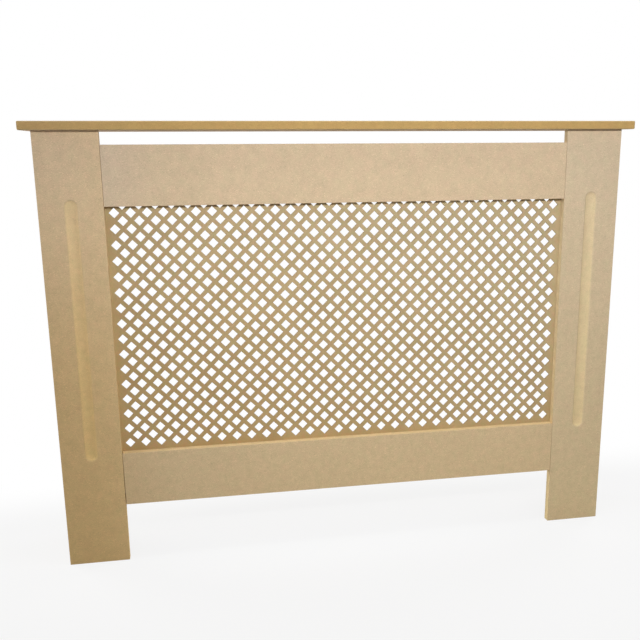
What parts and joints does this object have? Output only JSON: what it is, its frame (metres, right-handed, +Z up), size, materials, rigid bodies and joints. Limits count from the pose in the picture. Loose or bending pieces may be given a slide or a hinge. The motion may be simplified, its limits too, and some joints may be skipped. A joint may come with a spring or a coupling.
{
  "type": "radiator cover cabinet",
  "caption": "Raw fibreboard radiator cover: fluted legs, rails and a diamond lattice front, notched side panels and an overhanging shelf, knocked down with cam locks.",
  "frame": {"origin": "floor level under the middle of the shelf", "axes": "+Z up, -Y out of the front, +Y to the wall, +X to the right seen from the front"},
  "size_m": [1.115, 0.19, 0.815],
  "materials": {
    "raw_fibreboard": "raw, sanded, unpainted",
    "pierced_hardboard": "raw, smooth",
    "beech": "turned",
    "die_cast_zinc": "die-cast, tumbled",
    "plated_steel": "zinc plated",
    "bright_wire": "galvanised wire"
  },
  "bodies": {
    "cabinet": {"top_shelf": "raw_fibreboard", "top_rail": "raw_fibreboard", "bottom_rail": "raw_fibreboard", "left_leg": "raw_fibreboard", "right_leg": "raw_fibreboard", "left_side_panel": "raw_fibreboard", "right_side_panel": "raw_fibreboard", "lattice_front_layer": "pierced_hardboard", "lattice_back_layer": "pierced_hardboard", "lattice_staples": "bright_wire", "rail_dowels": "beech", "leg_dowels": "beech", "shelf_dowels": "beech", "cam_bolts": "plated_steel", "bracket_screws": "plated_steel", "left_wall_bracket": "plated_steel", "right_wall_bracket": "plated_steel"},
    "left_shelf_cam_front": {"left_shelf_cam_front": "die_cast_zinc"},
    "left_shelf_cam_rear": {"left_shelf_cam_rear": "die_cast_zinc"},
    "left_leg_cam_lower": {"left_leg_cam_lower": "die_cast_zinc"},
    "left_leg_cam_upper": {"left_leg_cam_upper": "die_cast_zinc"},
    "right_shelf_cam_front": {"right_shelf_cam_front": "die_cast_zinc"},
    "right_shelf_cam_rear": {"right_shelf_cam_rear": "die_cast_zinc"},
    "right_leg_cam_lower": {"right_leg_cam_lower": "die_cast_zinc"},
    "right_leg_cam_upper": {"right_leg_cam_upper": "die_cast_zinc"}
  },
  "joints": [
    {"name": "left_shelf_cam_front_turn", "type": "hinge", "parent": "cabinet", "child": "left_shelf_cam_front", "pos_m": [-0.5235, -0.025, 0.776], "axis": [1, 0, 0], "range_deg": [0, 180]},
    {"name": "left_shelf_cam_rear_turn", "type": "hinge", "parent": "cabinet", "child": "left_shelf_cam_rear", "pos_m": [-0.5235, 0.055, 0.776], "axis": [1, 0, 0], "range_deg": [0, 180]},
    {"name": "left_leg_cam_lower_turn", "type": "hinge", "parent": "cabinet", "child": "left_leg_cam_lower", "pos_m": [-0.5235, -0.041, 0.15], "axis": [1, 0, 0], "range_deg": [0, 180]},
    {"name": "left_leg_cam_upper_turn", "type": "hinge", "parent": "cabinet", "child": "left_leg_cam_upper", "pos_m": [-0.5235, -0.041, 0.65], "axis": [1, 0, 0], "range_deg": [0, 180]},
    {"name": "right_shelf_cam_front_turn", "type": "hinge", "parent": "cabinet", "child": "right_shelf_cam_front", "pos_m": [0.5235, -0.025, 0.776], "axis": [-1, 0, 0], "range_deg": [0, 180]},
    {"name": "right_shelf_cam_rear_turn", "type": "hinge", "parent": "cabinet", "child": "right_shelf_cam_rear", "pos_m": [0.5235, 0.055, 0.776], "axis": [-1, 0, 0], "range_deg": [0, 180]},
    {"name": "right_leg_cam_lower_turn", "type": "hinge", "parent": "cabinet", "child": "right_leg_cam_lower", "pos_m": [0.5235, -0.041, 0.15], "axis": [-1, 0, 0], "range_deg": [0, 180]},
    {"name": "right_leg_cam_upper_turn", "type": "hinge", "parent": "cabinet", "child": "right_leg_cam_upper", "pos_m": [0.5235, -0.041, 0.65], "axis": [-1, 0, 0], "range_deg": [0, 180]}
  ]
}
